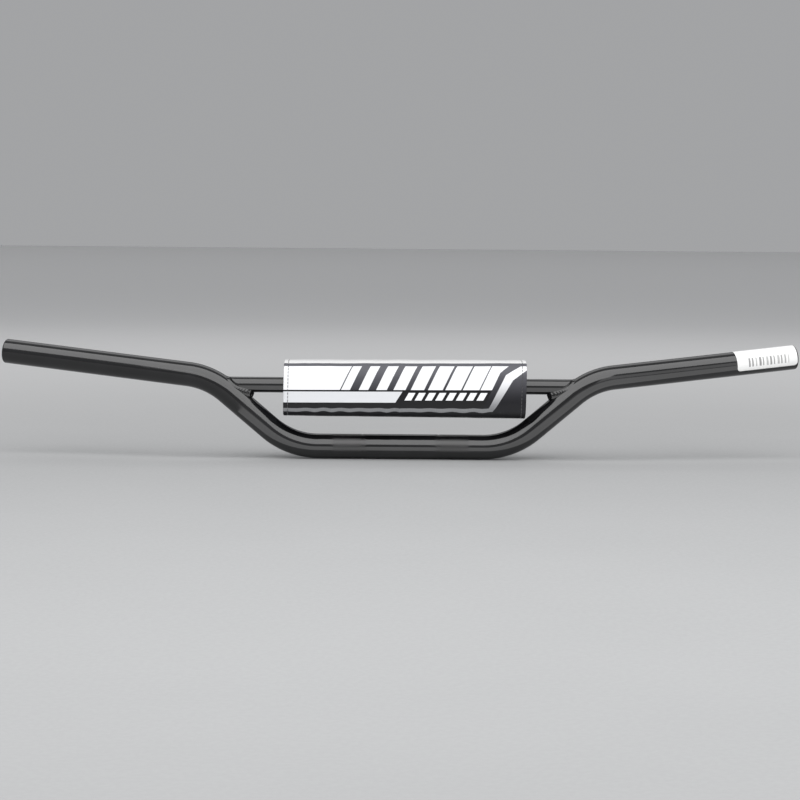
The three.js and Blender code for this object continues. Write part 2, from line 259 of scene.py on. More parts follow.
class Nodes:
    """A new material and the nodes that drive its Principled shader."""

    def __init__(self, name, **constants):
        self.material = bpy.data.materials.new(name)
        self.material.use_nodes = True
        self.tree = self.material.node_tree
        self.shader = self.tree.nodes["Principled BSDF"]
        for socket, value in constants.items():
            self.shader.inputs[socket.replace("_", " ")].default_value = value

    def add(self, kind, **settings):
        node = self.tree.nodes.new(kind)
        for key, value in settings.items():
            setattr(node, key, value)
        return node

    def feed(self, socket, value):
        if isinstance(value, Value):
            self.tree.links.new(value.socket, socket)
        else:
            socket.default_value = value

    def math(self, operation, *values, clamp=False):
        node = self.add("ShaderNodeMath", operation=operation, use_clamp=clamp)
        for socket, value in zip(node.inputs, values):
            self.feed(socket, value)
        return Value(self, node.outputs[0])

    def highest(self, first, *others):
        for other in others:
            first = self.math("MAXIMUM", first, other)
        return first

    def mix(self, share, first, second):
        """Two colours mixed; each is a grey level, an (r, g, b) or another mix."""
        node = self.add("ShaderNodeMix", data_type="RGBA")
        self.feed(node.inputs[0], share)
        for socket, colour in ((node.inputs[6], first), (node.inputs[7], second)):
            if isinstance(colour, (int, float)):
                colour = (colour, colour, colour)
            self.feed(socket, (*colour, 1) if isinstance(colour, tuple) else colour)
        return Value(self, node.outputs[2])

    def place(self):
        """The piece's own coordinates, in metres."""
        return Value(self, self.add("ShaderNodeTexCoord").outputs["Object"])

    def printed(self):
        """The two coordinates of the print map, in millimetres."""
        split = self.add("ShaderNodeSeparateXYZ")
        self.tree.links.new(self.add("ShaderNodeUVMap", uv_map=PRINT_MAP).outputs[0], split.inputs[0])
        return Value(self, split.outputs[0]), Value(self, split.outputs[1])

    def noise(self, size, detail=2.0, roughness=0.5, stretch=(1, 1, 1)):
        """Noise whose features are about size millimetres across."""
        scale = self.add("ShaderNodeMapping")
        self.feed(scale.inputs["Vector"], self.place())
        scale.inputs["Scale"].default_value = [1 / (size * MM * k) for k in stretch]
        node = self.add("ShaderNodeTexNoise")
        self.tree.links.new(scale.outputs[0], node.inputs["Vector"])
        for name, value in (("Scale", 1.0), ("Detail", detail), ("Roughness", roughness)):
            node.inputs[name].default_value = value
        return Value(self, node.outputs[0])

    def cells(self, size, feature="F1"):
        """Distance in a Voronoi pattern with cells of about size millimetres."""
        node = self.add("ShaderNodeTexVoronoi", feature=feature)
        self.feed(node.inputs["Vector"], self.place())
        node.inputs["Scale"].default_value = 1 / (size * MM)
        return Value(self, node.outputs["Distance"])

    def finish(self, colour=None, roughness=None, relief=None, depth=0.1):
        """Connects what varies; relief is from 0 to 1 over a depth in millimetres."""
        if colour is not None:
            self.feed(self.shader.inputs["Base Color"], colour)
        if roughness is not None:
            self.feed(self.shader.inputs["Roughness"], roughness)
        if relief is not None:
            bump = self.add("ShaderNodeBump")
            bump.inputs["Distance"].default_value = depth * MM
            self.feed(bump.inputs["Height"], relief)
            self.tree.links.new(bump.outputs[0], self.shader.inputs["Normal"])
        return self.material


def gloss_paint():
    nodes = Nodes("gloss_black_paint", Specular_IOR_Level=0.68)
    flow = nodes.noise(1.6, detail=1)
    haze = nodes.noise(22, detail=4)
    colour = nodes.mix(haze.ramp(0.35, 0.7), (0.003, 0.003, 0.0033), (0.006, 0.006, 0.0068))
    return nodes.finish(colour, haze.ramp(0.3, 0.75, 0.08, 0.12), flow, depth=0.006)


def bore_steel():
    nodes = Nodes("bore_steel", Metallic=0.85)
    drawn = nodes.noise(0.5, detail=3, stretch=(40, 1, 1))
    stain = nodes.noise(9, detail=5)
    colour = nodes.mix(stain.ramp(0.35, 0.65), (0.12, 0.115, 0.11), (0.05, 0.045, 0.042))
    return nodes.finish(colour, stain.ramp(0.3, 0.7, 0.4, 0.65), drawn, depth=0.05)


PAINT = gloss_paint()
BORE_STEEL = bore_steel()

# ------------------------------------------------------------------ camera and light

CAMERA_TARGET = (-0.777, 0.0, 42.01)
CAMERA_DISTANCE = 2200
CAMERA_ELEVATION = math.radians(4)
CAMERA_YAW = math.radians(-0.603)
CAMERA_ROLL = math.radians(0.508)
CAMERA_LENS = 109.73
SENSOR = 36

# Lamps: azimuth and elevation in degrees, then distance, width and height in metres, then radiance
SOFTBOXES = {
    "front_softbox": (0, 64.5, 1.7, 3.4, 1.7, 2.8),
    "front_softbox_low": (-2, 29.5, 1.7, 2.05, 0.52, 2.8),
    "back_softbox": (180, 50, 2.2, 3.0, 1.0, 0.9),
    "side_panel": (42, 9, 1.6, 1.0, 0.55, 0.95),
}
LOW_PANEL_PLACE = (0.32, -0.17)  # on the floor, in front of the right side
LOW_PANEL_SIZE = (1.0, 0.3)
LOW_PANEL_RADIANCE = 1.1
LOW_PANEL_LIFT = 0.002
WORLD_COLOUR = (0.93, 0.94, 0.96, 1)
WORLD_STRENGTH = 0.42
EXPOSURE = -0.1


def direction(azimuth, elevation):
    """A unit vector away from the bar: azimuth 0 is straight ahead of it, towards -Y."""
    level = math.cos(elevation)
    return np.array([math.sin(azimuth) * level, -math.cos(azimuth) * level, math.sin(elevation)])


def place_camera():
    back = direction(CAMERA_YAW, CAMERA_ELEVATION)
    right = unit(np.cross(-back, (0, 0, 1)))
    up = np.cross(right, -back)
    cos, sin = math.cos(CAMERA_ROLL), math.sin(CAMERA_ROLL)
    axes = np.column_stack([right * cos + up * sin, up * cos - right * sin, back])
    data = bpy.data.cameras.new("camera")
    data.sensor_width = SENSOR
    data.lens = CAMERA_LENS
    camera = linked("camera", data)
    camera.matrix_world = Matrix(axes.tolist()).to_4x4()
    camera.location = (np.array(CAMERA_TARGET) + back * CAMERA_DISTANCE) * MM
    bpy.context.scene.camera = camera


def lamp_panel(name, centre, facing, width, height, radiance):
    """A rectangular lamp, in metres, of the given brightness."""
    data = bpy.data.lights.new(name, "AREA")
    data.shape = "RECTANGLE"
    data.size, data.size_y = width, height
    data.energy = radiance * math.pi * width * height
    lamp = linked(name, data)
    turned = Vector(facing).to_track_quat("-Z", "Y").to_matrix().to_4x4()
    lamp.matrix_world = Matrix.Translation(centre) @ turned
    lamp.visible_camera = False


def softbox(name, azimuth, elevation, distance, width, height, radiance):
    """A lamp that faces the middle of the bar from a direction in degrees."""
    back = direction(math.radians(azimuth), math.radians(elevation))
    lamp_panel(name, back * distance, -back, width, height, radiance)


FLOOR_TOP = node_box("main_tube")[0][2] - 0.3
FLOOR_HALF = 24000.0
FLOOR_THICKNESS = 5
FLOOR_DARK, FLOOR_LIGHT = (0.305, 0.308, 0.311), (0.322, 0.325, 0.328)
FLOOR_FAR = (0.97, 0.97, 0.97)
FLOOR_FADE_FROM = (0, -0.6, 0)  # metres
FLOOR_FADE = (0.5, 3.4)  # metres from there, from the near colour to the far one


def studio():
    world = bpy.data.worlds.new("studio")
    world.use_nodes = True
    background = world.node_tree.nodes["Background"]
    background.inputs["Color"].default_value = WORLD_COLOUR
    background.inputs["Strength"].default_value = WORLD_STRENGTH
    bpy.context.scene.world = world
    place = (*LOW_PANEL_PLACE, FLOOR_TOP * MM + LOW_PANEL_LIFT)
    lamp_panel("low_panel", place, (0, 0, 1), *LOW_PANEL_SIZE, LOW_PANEL_RADIANCE)
    for name, numbers in SOFTBOXES.items():
        softbox(name, *numbers)


def floor():
    """A sheet whose colour gets paler with distance, to make up for the lamps' falling light."""
    corners = np.array([[-1, -1], [1, -1], [1, 1], [-1, 1]]) * FLOOR_HALF
    outer = np.column_stack([corners, np.full(4, FLOOR_TOP)]).reshape(2, 2, 3)
    outer[1] = outer[1, ::-1]
    nodes = Nodes("pale_floor")
    grain = nodes.noise(3, detail=3)
    reach = nodes.add("ShaderNodeVectorMath", operation="DISTANCE")
    nodes.feed(reach.inputs[0], nodes.place())
    reach.inputs[1].default_value = FLOOR_FADE_FROM
    far = Value(nodes, reach.outputs["Value"]).ramp(*FLOOR_FADE)
    near = nodes.mix(nodes.noise(180, detail=3), FLOOR_DARK, FLOOR_LIGHT)
    colour = nodes.mix(far, near, FLOOR_FAR)
    material = nodes.finish(colour, grain.ramp(0.3, 0.7, 0.6, 0.7), grain, depth=0.02)
    mesh_object("floor", *slab(outer, outer - (0, 0, FLOOR_THICKNESS)), [material])


bpy.context.scene.view_settings.view_transform = "Standard"
bpy.context.scene.view_settings.exposure = EXPOSURE
place_camera()
studio()
floor()

# ------------------------------------------------------------------ main tube

TUBE_RADIUS = 11.1
BORE_RADIUS = 8.6
HALF_WIDTH = 362.5  # to the centre of each end face
CENTRE_HALF = 74.5  # half of the straight clamping section
LOWER_BEND_RADIUS = 68
RISE = math.radians(40.2)
RISER_LENGTH = 50
UPPER_BEND_RADIUS = 62
UPSWEEP = math.radians(5.75)
BACKSWEEP = math.radians(13.5)
TUBE_SIDES = 216
RIM = 1.3  # round edge of the tube's ends
BORE_CHAMFER = 0.5

# Knurled clamping zones, either side of the middle, each cut by a plain ring near its inner end
KNURL = (31.2, 61.5)
KNURL_DEPTH = 0.2
KNURL_PITCH = 1.94
KNURL_STEP = 0.32
KNURLS_ROUND = 36
RING_GROOVE = 34.4
RING_GROOVE_WIDTH = 1.1
RING_GROOVE_DEPTH = 0.35


def leaning(up, back):
    """The unit vector that leans up by one angle and back by another from +X."""
    level = math.cos(up)
    return np.array([level * math.cos(back), level * math.sin(back), math.sin(up)])


class Centreline:
    """The bar's axis by distance from its middle; the left half mirrors the right."""

    def __init__(self):
        self.parts = []
        self.length = 0.0
        self.point = np.zeros(3)
        self.heading = np.array([1.0, 0.0, 0.0])

    def straight(self, length):
        self.parts.append((self.length, self.point, self.heading, None, 0))
        self.point = self.point + self.heading * length
        self.length += length

    def bend(self, heading, radius):
        cosine = self.heading @ heading
        angle = math.acos(cosine)
        inward = unit(heading - self.heading * cosine)
        self.parts.append((self.length, self.point, self.heading, inward, radius))
        along, across = math.sin(angle), 1 - math.cos(angle)
        self.point = self.point + radius * (along * self.heading + across * inward)
        self.heading = heading
        self.length += radius * angle

    def at(self, distances):
        """Points on the axis and its headings, from left to right."""
        away = np.abs(distances)
        points, headings = np.empty((2, len(distances), 3))
        for start, point, heading, inward, radius in self.parts:
            here = away >= start
            past = (away[here] - start)[:, None]
            if inward is None:
                points[here] = point + past * heading
                headings[here] = heading
            else:
                turn = past / radius
                along, across = np.sin(turn), np.cos(turn)
                points[here] = point + radius * (along * heading + (1 - across) * inward)
                headings[here] = across * heading + along * inward
        left = distances < 0
        points[left] *= (-1, 1, 1)
        headings[left] *= (1, -1, -1)
        return points, headings


def bar_axis():
    axis = Centreline()
    axis.straight(CENTRE_HALF)
    axis.bend(leaning(RISE, 0), LOWER_BEND_RADIUS)
    axis.straight(RISER_LENGTH)
    grip = leaning(UPSWEEP, BACKSWEEP)
    axis.bend(grip, UPPER_BEND_RADIUS)
    axis.straight((HALF_WIDTH - axis.point[0]) / grip[0])
    return axis


AXIS = bar_axis()


def round_axis(distances, radii, angles):
    """Points round the bar's axis; angle 0 is on top and a quarter turn is in front.

    The angles are the same at each distance, or have a row for each.
    """
    points, headings = AXIS.at(distances)
    ahead = unit(np.cross(headings, (0, 0, 1)))
    up = np.cross(ahead, headings)
    spoke = np.cos(angles)[..., None] * up[:, None] + np.sin(angles)[..., None] * ahead[:, None]
    return points[:, None] + np.asarray(radii)[..., None] * spoke


def stations(bend_step, straight_step):
    """Distances along the right half, close together in the bends."""
    found = [np.zeros(1)]
    ends = [part[0] for part in AXIS.parts[1:]] + [AXIS.length]
    for (start, _, _, inward, _), end in zip(AXIS.parts, ends):
        step = straight_step if inward is None else bend_step
        count = math.ceil((end - start) / step)
        found.append(start + (end - start) * np.arange(1, count + 1) / count)
    return np.concatenate(found)


def both_ways(right):
    """Distances on the right half and their mirror images, from left to right."""
    right = np.unique(np.round(right, 6))
    return np.concatenate([-right[:0:-1], right])


def knurling(distances, angles):
    """How deep the clamping zones are cut, by distance from the middle and angle."""
    away = np.abs(distances)[:, None]
    across = angles[None, :] * (KNURLS_ROUND / (2 * math.pi))
    along = away / KNURL_PITCH
    cuts = [(0.5 + 0.5 * np.cos(2 * math.pi * (across + way * along))) ** 2 for way in (1, -1)]
    zone = smooth(away, KNURL[0], KNURL[0] + 1) * (1 - smooth(away, KNURL[1] - 1, KNURL[1]))
    ring = np.exp(-(((away - RING_GROOVE) / (RING_GROOVE_WIDTH / 2)) ** 2))
    return KNURL_DEPTH * zone * (1 - ring) * np.maximum(*cuts) + RING_GROOVE_DEPTH * ring


def main_tube():
    angles = full_turn(TUBE_SIDES)
    fine = np.arange(KNURL[0] - 1, KNURL[1] + 0.5, KNURL_STEP)
    right = stations(2.4, 12)
    right = right[(right < fine[0]) | (right > fine[-1])]
    outside = both_ways(np.concatenate([right[:-1], fine, [AXIS.length - RIM]]))
    inside = both_ways(np.append(stations(5, 25)[:-1], AXIS.length - BORE_CHAMFER))[::-1]
    turn = np.radians([12, 28, 45, 62, 78, 90])
    rim_distance = AXIS.length - RIM + RIM * np.sin(turn)
    rim_radius = TUBE_RADIUS - RIM + RIM * np.cos(turn)
    mouth_radius = BORE_RADIUS + BORE_CHAMFER
    distances = np.concatenate(
        [outside, rim_distance, [AXIS.length], inside, [-AXIS.length], -rim_distance[::-1]]
    )
    outer_radii = TUBE_RADIUS - knurling(outside, angles)
    flat_radii = np.concatenate(
        [rim_radius, [mouth_radius], np.full(len(inside), BORE_RADIUS), [mouth_radius], rim_radius[::-1]]
    )
    radii = np.concatenate([outer_radii, np.repeat(flat_radii[:, None], TUBE_SIDES, axis=1)])
    points = round_axis(distances, radii, angles).reshape(-1, 3)
    faces = grid_faces(len(distances), TUBE_SIDES, close_rows=True, close_columns=True)
    first_inside = len(outside) + len(turn)
    rows = np.repeat(np.arange(len(distances)), TUBE_SIDES)
    in_bore = (rows >= first_inside) & (rows <= first_inside + len(inside))
    add_piece(
        "main_tube_painted",
        (points, [faces]),
        [PAINT, BORE_STEEL],
        "bar",
        "main_tube",
        "gloss_black_paint",
        face_materials=in_bore.astype(np.int32),
    )


main_tube()

# ------------------------------------------------------------------ crossbar and welds

CROSSBAR_HEIGHT = float(np.mean([corner[2] for corner in node_box("crossbar_tube")]))
CROSSBAR_RADIUS = 7
CROSSBAR_BORE = 5.4
CROSSBAR_SIDES = 96
WELD_STATIONS = 260
WELD_THROAT = (1.5, 2.3)  # on the open side and in the sharp corner under the crossbar
WELD_BULGE = 0.4
WELD_RIPPLE = 2.0  # pitch of the crescents
WELD_RIPPLE_HEIGHT = 0.45
WELD_SUNK = 0.12  # how far its toes lie in the tubes

axis_points, axis_headings = AXIS.at(np.arange(CENTRE_HALF, AXIS.length - 100, 0.25))


def from_bar(points):
    """Distance from the main tube's axis on the right half, and the direction away from it."""
    gaps = np.linalg.norm(points[:, None] - axis_points[None], axis=-1)
    near = gaps.argmin(axis=1)
    heading = axis_headings[near]
    away = points - axis_points[near]
    away = away - dots(away, heading)[:, None] * heading
    distance = np.linalg.norm(away, axis=1)
    return distance, away / distance[:, None]


def crossbar_spokes(angles):
    return np.column_stack([np.zeros(len(angles)), np.sin(angles), np.cos(angles)])


def on_crossbar(x, radius, angles):
    line = np.column_stack([x, np.zeros(len(x)), np.full(len(x), CROSSBAR_HEIGHT)])
    return line + radius * crossbar_spokes(angles)


def coped(radius, angles):
    """Where lines along the crossbar meet the main tube, as x for each angle."""
    low = np.full(len(angles), CENTRE_HALF, float)
    high = np.full(len(angles), np.interp(CROSSBAR_HEIGHT, axis_points[:, 2], axis_points[:, 0]))
    for _ in range(30):
        middle = (low + high) / 2
        inside = from_bar(on_crossbar(middle, radius, angles))[0] < TUBE_RADIUS
        high = np.where(inside, middle, high)
        low = np.where(inside, low, middle)
    return low


def crossbar():
    angles = full_turn(CROSSBAR_SIDES)
    share = np.linspace(-1, 1, 57)
    rows = []
    for radius, order in ((CROSSBAR_RADIUS, share), (CROSSBAR_BORE, share[::-1])):
        reach = coped(radius, angles)
        rows += [on_crossbar(t * reach, radius, angles) for t in order]
    faces = grid_faces(len(rows), CROSSBAR_SIDES, close_rows=True, close_columns=True)
    shape = np.concatenate(rows), [faces]
    add_piece("crossbar_painted", shape, [PAINT], "bar", "crossbar_tube", "gloss_black_paint")


def weld_bead(name, side, seed):
    """The fillet where the crossbar meets the main tube, with its crescent ripples."""
    angles = full_turn(WELD_STATIONS)
    root = on_crossbar(coped(CROSSBAR_RADIUS, angles), CROSSBAR_RADIUS, angles)
    off_crossbar = crossbar_spokes(angles)
    off_tube = from_bar(root)[1]
    along = unit(np.roll(root, -1, axis=0) - np.roll(root, 1, axis=0))

    def leg(own, other):
        flat = unit(np.cross(own, along))
        return flat * np.sign(dots(flat, other))[:, None]

    to_crossbar, to_tube = leg(off_crossbar, off_tube), leg(off_tube, off_crossbar)
    half = np.arccos(dots(to_crossbar, to_tube)) / 2
    travelled = np.cumsum(np.linalg.norm(root - np.roll(root, 1, axis=0), axis=1))
    uneven = 1 + 0.1 * lumps(seed, travelled, travelled * 0, 4)
    sharp = 1 - smooth(half, math.radians(32), math.radians(60))
    throat = (WELD_THROAT[0] + (WELD_THROAT[1] - WELD_THROAT[0]) * sharp) * uneven
    length = (throat / np.sin(half))[:, None]
    outward = unit(to_crossbar + to_tube)
    start, end = root + length * to_crossbar, root + length * to_tube
    radial = start - on_crossbar(start[:, 0], 0, angles)
    start = start + unit(radial) * (
        CROSSBAR_RADIUS - WELD_SUNK - np.linalg.norm(radial, axis=1, keepdims=True)
    )
    distance, away = from_bar(end)
    end = end + away * (TUBE_RADIUS - WELD_SUNK - distance)[:, None]
    ripples = round(travelled[-1] / WELD_RIPPLE)
    phase = travelled / travelled[-1] * ripples
    columns = []
    for v in np.linspace(0, 1, 15):
        window = 4 * v * (1 - v)
        crescent = 0.5 + 0.5 * np.cos(2 * math.pi * (phase + 0.55 * (2 * v - 1) ** 2))
        bulge = WELD_BULGE + WELD_RIPPLE_HEIGHT * crescent
        raised = window**0.6 * bulge * (0.2 + 0.8 * sharp)
        columns.append(start * (1 - v) + end * v + raised[:, None] * outward)
    columns += [end - 0.6 * away, root - 0.8 * outward, start - 0.6 * off_crossbar]
    points = np.stack(columns, axis=1).reshape(-1, 3) * (side, 1, 1)
    faces = grid_faces(WELD_STATIONS, len(columns), close_rows=True, close_columns=True)
    add_piece(name + "_bead", (points, [faces]), [PAINT], "bar", name, "gloss_black_paint")


crossbar()
weld_bead("weld_right", 1, 11)
weld_bead("weld_left", -1, 12)

# ------------------------------------------------------------------ the pad's outline

cover_low, cover_high = node_box("pad_cover")
flap_low, flap_high = node_box("closure_flap")
PAD_FROM, PAD_TO = cover_low[0], cover_high[0]
PAD_TOP, PAD_BOTTOM = cover_high[2], cover_low[2]
PAD_FRONT, PAD_BACK = cover_low[1], cover_high[1]
PAD_MIDDLE = (PAD_TOP + PAD_BOTTOM) / 2
PAD_CENTRE = (PAD_FROM + PAD_TO) / 2
PAD_CORNER = 15
PAD_BACK_CORNER = 12.5
UNDER_FACE = 17.9  # outer face of the cover's lower edge, turned up under the flap
COVER = 1.0
FOLD = flap_high[2] - COVER / 2  # the fold line, which the flap turns about
SEAM_ANGLE = math.radians(8)  # where the flap is sewn on, round the top back corner

PAD_TAPER = 0.55  # how much further the top and bottom stand out at the right end than midway
PAD_SKEW = 0.014  # the pad's ends lean over by this slope
CROWN = 0.9  # how far the simulated cover swells
PRINT_SLOPE = 0.006  # the print climbs by this slope towards the right
PRINT_RAISE = 1.2  # how far the print sits over the middle of the front
CROWN_CAP = 3.0
SIM_PITCH = 4.0
SIM_FRAMES = 20
CLOTH = {
    "quality": 6,
    "mass": 0.3,
    "tension_stiffness": 30,
    "compression_stiffness": 30,
    "shear_stiffness": 20,
    "bending_stiffness": 3,
    "use_pressure": True,
    "uniform_pressure_force": 4,
}


class Wrap:
    """A path round the pad's section, by distance, with the way out at each point."""

    def __init__(self, turns, last):
        points, outward = [], []
        for y, z, radius, start, end in turns:
            angles = np.radians(np.linspace(start, end, 80))
            ways = np.column_stack([np.cos(angles), np.sin(angles)])
            points.append((y, z) + radius * ways)
            outward.append(ways)
        points.append(np.array([last]))
        outward.append(outward[-1][-1:])
        self.points, self.outward = np.concatenate(points), np.concatenate(outward)
        steps = np.linalg.norm(np.diff(self.points, axis=0), axis=1)
        self.distances = np.concatenate([[0], np.cumsum(steps)])
        self.length = self.distances[-1]

    def at(self, distances):
        def read(table):
            columns = [np.interp(distances, self.distances, table[:, k]) for k in (0, 1)]
            return np.stack(columns, axis=-1)

        return read(self.points), unit(read(self.outward))


TOP_BACK = (PAD_BACK - PAD_CORNER, PAD_TOP - PAD_CORNER, PAD_CORNER)
seam_degrees = math.degrees(SEAM_ANGLE)
COVER_PATH = Wrap(
    [
        (*TOP_BACK, seam_degrees, 90),
        (PAD_FRONT + PAD_CORNER, PAD_TOP - PAD_CORNER, PAD_CORNER, 90, 180),
        (PAD_FRONT + PAD_CORNER, PAD_BOTTOM + PAD_CORNER, PAD_CORNER, 180, 270),
        (UNDER_FACE - PAD_BACK_CORNER, PAD_BOTTOM + PAD_BACK_CORNER, PAD_BACK_CORNER, 270, 360),
    ],
    (UNDER_FACE, FOLD),
)
FLAP_PATH = Wrap([(*TOP_BACK, seam_degrees, 0)], (PAD_BACK, flap_low[2]))
QUARTER = math.pi / 2 * PAD_CORNER
FRONT_MIDDLE = (
    QUARTER - SEAM_ANGLE * PAD_CORNER  # round the top back corner
    + (PAD_BACK - PAD_FRONT - 2 * PAD_CORNER)  # over the top
    + QUARTER
    + (PAD_TOP - PAD_BOTTOM) / 2 - PAD_CORNER  # down half of the front
)


def from_ends(along):
    """Distance from the nearer end of the pad."""
    return np.minimum(along - PAD_FROM, PAD_TO - along)


def leaned(x, y, z):
    """Points of the upright pad, leaned over by its skew."""
    return np.stack(np.broadcast_arrays(x + PAD_SKEW * (z - PAD_MIDDLE), y, z), axis=-1)


def simulated_swell():
    """How far the stuffed cover swells, on a grid round and along it, from a cloth simulation."""
    rows = round(COVER_PATH.length / SIM_PITCH) + 1
    columns = round((PAD_TO - PAD_FROM) / SIM_PITCH) + 1
    around = np.linspace(0, COVER_PATH.length, rows)
    along = np.linspace(PAD_FROM, PAD_TO, columns)
    section, outward = COVER_PATH.at(around)
    points = leaned(along[None, :], section[:, :1], section[:, 1:])
    ends = points[:, [0, -1]].mean(axis=0)
    index = np.arange(rows * columns).reshape(rows, columns)
    caps = []
    for column, centre in ((0, rows * columns), (-1, rows * columns + 1)):
        edge = index[:, column]
        caps.append(np.column_stack([edge, np.roll(edge, -1), np.full(rows, centre)]))
    caps[0] = caps[0][:, ::-1]
    faces = [grid_faces(rows, columns, close_rows=True), *caps]
    shape = np.concatenate([points.reshape(-1, 3), ends])
    cloth = mesh_object("cloth", shape, faces, [])
    pinned = np.zeros((rows, columns), bool)
    pinned[:, [0, -1]] = True
    pinned[[0, -1]] = True
    pinned[(section[:, 0] > UNDER_FACE - 0.5) & (outward[:, 0] > 0.9)] = True
    group = cloth.vertex_groups.new(name="sewn")
    group.add(np.flatnonzero(pinned).tolist() + [rows * columns, rows * columns + 1], 1, "REPLACE")
    settings = cloth.modifiers.new("cloth", "CLOTH").settings
    for key, value in CLOTH.items():
        setattr(settings, key, value)
    settings.vertex_group_mass = group.name
    settings.effector_weights.gravity = 0
    scene = bpy.context.scene
    for step in range(1, SIM_FRAMES + 1):
        scene.frame_set(step)
    evaluated = cloth.evaluated_get(bpy.context.evaluated_depsgraph_get())
    settled = np.array([v.co for v in evaluated.data.vertices])[: rows * columns] / MM
    scene.frame_set(1)
    bpy.data.objects.remove(cloth)
    moved = settled.reshape(rows, columns, 3) - points
    swell = np.einsum("ijk,ik->ij", moved[..., 1:], outward)
    swell = np.clip(swell, -CROWN_CAP, CROWN_CAP)
    return swell * CROWN / max(swell.max(), 1e-6)


SWELL = simulated_swell()

# Wrinkles in the vinyl along the lower front corner, by height on the print
WRINKLE_HEIGHT = 0.9
WRINKLE_LENGTH = 17
WRINKLE_AT = -20
WRINKLE_SPREAD = 6
WRINKLE_DRIFTS = ((1.2, 27, 0.8), (0.6, 11, 0))  # strength, length and start of each
DENTS = ((5, 0.16, 17, 1), (6, 0.07, 6, 1.3))  # seed, depth, pitch and squeeze along the pad


def cover_relief(around, along):
    """How far the cover stands out from its plain outline."""
    span = PAD_TO - PAD_FROM
    row = around / COVER_PATH.length * (SWELL.shape[0] - 1)
    column = (along - PAD_FROM) / span * (SWELL.shape[1] - 1)
    swell = cubic_sample(SWELL, row, column)
    height = FRONT_MIDDLE - around
    from_end = from_ends(along)
    low = np.exp(-(((height - WRINKLE_AT) / WRINKLE_SPREAD) ** 2))
    drift = sum(size * np.sin(along / length + start) for size, length, start in WRINKLE_DRIFTS)
    wave = np.sin(2 * math.pi * along / WRINKLE_LENGTH + drift)
    uneven = 0.55 + 0.45 * lumps(8, along, height * 0, 31)
    wrinkle = WRINKLE_HEIGHT * low * wave * uneven * smooth(from_end, 4, 20)
    closed = smooth(COVER_PATH.length - around, 10, 40) * smooth(around, 2, 20)
    dents = sum(deep * lumps(seed, along * k, height, pitch) for seed, deep, pitch, k in DENTS)
    _, outward = COVER_PATH.at(around)
    flat = np.abs(outward[..., 1])  # 1 over the top and under the bottom
    taper = PAD_TAPER * (along - PAD_CENTRE) / (span / 2) * flat
    return swell * (1 - 0.9 * flat) + closed * (wrinkle + dents * smooth(from_end, 1, 8) + taper)


def on_cover(around, along, depth):
    """A point that many millimetres under the cover's face."""
    around, along, depth = np.broadcast_arrays(around, along, depth)
    section, outward = COVER_PATH.at(around)
    placed = section + (cover_relief(around, along) - depth)[..., None] * outward
    return leaned(along, placed[..., 0], placed[..., 1])


def on_flap(around, along, depth):
    around, along, depth = np.broadcast_arrays(around, along, depth)
    section, outward = FLAP_PATH.at(around)
    loose = smooth(around, 8, FLAP_PATH.length)
    wave = 0.25 * loose * (1 + np.sin(2 * math.pi * along / 73 + 0.6))
    placed = section + (wave - depth)[..., None] * outward
    return leaned(along, placed[..., 0], placed[..., 1])


# ------------------------------------------------------------------ hems

HEM_FOLD = 6.4  # the vinyl is double to here from each end
HEM_LINE = 4.0  # from each end to its stitching
HEM_PULL = 0.32  # how far the stitching pulls the vinyl in
THINNEST = 0.1  # of the flap, where its folded edges meet
STITCH_PITCH = 3.2
STITCH_LENGTH = 2.5
STITCH_RADIUS = 0.3


def edge_samples(length, both=True):
    """Distances across a hemmed sheet, close together at its folds and stitching."""
    near = [0, 0.03, 0.1, 0.22, 0.42, 0.7, 1, 1.6, 2.3, 3, 3.35, 3.6, 3.8, 4, 4.2, 4.4, 4.65, 5]
    near = np.array(near + [5.6, 6.2, 6.5, 6.8, 7.4, 8.2])
    middle_to = length - near[-1] if both else length
    middle = np.linspace(near[-1], middle_to, round((middle_to - near[-1]) / 1.25) + 1)[1:]
    return np.concatenate([near, middle] + ([length - near[-2::-1]] if both else []))


def hem_depths(from_edge, stitched=1.0):
    """Depths of the outer and inner face of vinyl that is folded under at an edge."""
    half = np.sqrt(np.clip(1 - (1 - np.clip(from_edge, 0, 1)) ** 2, 0.02, 1))
    pulled = HEM_PULL * stitched * np.exp(-(((from_edge - HEM_LINE) / 0.55) ** 2))
    single = smooth(from_edge, HEM_FOLD, HEM_FOLD + 0.7)
    return COVER * (1 - half) + pulled, COVER * (1 + half) - COVER * single


def pull_of_stitches(around):
    """How strongly the stitching pulls, by distance along its line."""
    return 0.7 - 0.3 * np.cos(2 * math.pi * around / STITCH_PITCH)


# ------------------------------------------------------------------ pad materials

# Heights on the print, from the middle of the front
PRINT_BLACK_FROM = 59.7  # over the top edge, towards the back
# The top band, from this height, is silver print darkened with painted shade
PRINT_TOP_GREY_FROM = 25.0
PRINT_TOP_EDGE = 20.9
PRINT_LINE = (-2.75, -1.25)
PRINT_LOWER_TOP = -2.6
PRINT_DASHES = (-10.6, -3.8)
PRINT_LOWER_END = -12.6
PRINT_STRIPE = (-22.2, -18.1)


def vinyl_grain(nodes):
    """Fine embossed grain, with soft unevenness under it."""
    return nodes.cells(0.55, "SMOOTH_F1") * 0.35 + nodes.noise(4.5, detail=3) * 0.65


def black_vinyl():
    nodes = Nodes("black_vinyl", Specular_IOR_Level=0.35)
    wear = nodes.noise(13, detail=4)
    colour = nodes.mix(wear.ramp(0.3, 0.75), (0.011, 0.011, 0.012), (0.022, 0.022, 0.024))
    return nodes.finish(colour, wear.ramp(0.3, 0.7, 0.36, 0.5), vinyl_grain(nodes), depth=0.09)


